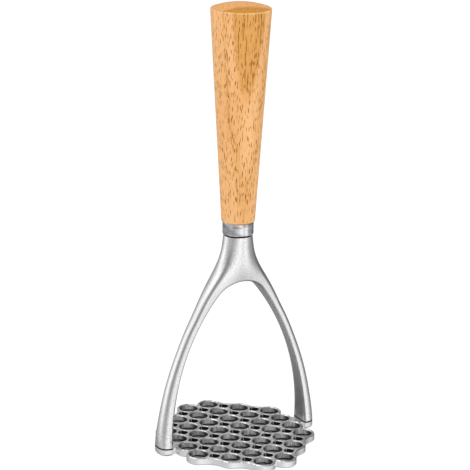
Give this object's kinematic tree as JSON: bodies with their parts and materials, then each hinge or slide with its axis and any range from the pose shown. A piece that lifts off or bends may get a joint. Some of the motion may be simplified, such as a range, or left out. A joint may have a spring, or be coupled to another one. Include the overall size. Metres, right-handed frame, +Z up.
{
  "type": "potato masher",
  "caption": "Hand masher with a turned wooden handle, a cast forked frame and a round plate of rings that food is pressed through.",
  "frame": {"origin": "middle of the plate's flat underside", "axes": "+Z up along the handle, +X from the left arm of the fork to the right arm, the front towards -Y"},
  "size_m": [0.0928, 0.0948, 0.2333],
  "materials": {
    "handle_wood": "oiled, fine open grain",
    "ferrule_steel": "polished",
    "fork_metal": "cast, satin blasted",
    "plate_metal": "cast, tumbled",
    "washer_rubber": "matte",
    "fastener_steel": "plain bright steel",
    "insert_brass": "turned"
  },
  "bodies": {
    "root": {"handle": "handle_wood", "handle_insert": "insert_brass", "handle_stud": "fastener_steel", "ferrule": "ferrule_steel", "seal_washer": "washer_rubber", "fork": "fork_metal", "masher_plate": "plate_metal", "foot_screw_left": "fastener_steel", "foot_screw_right": "fastener_steel"}
  },
  "joints": []
}
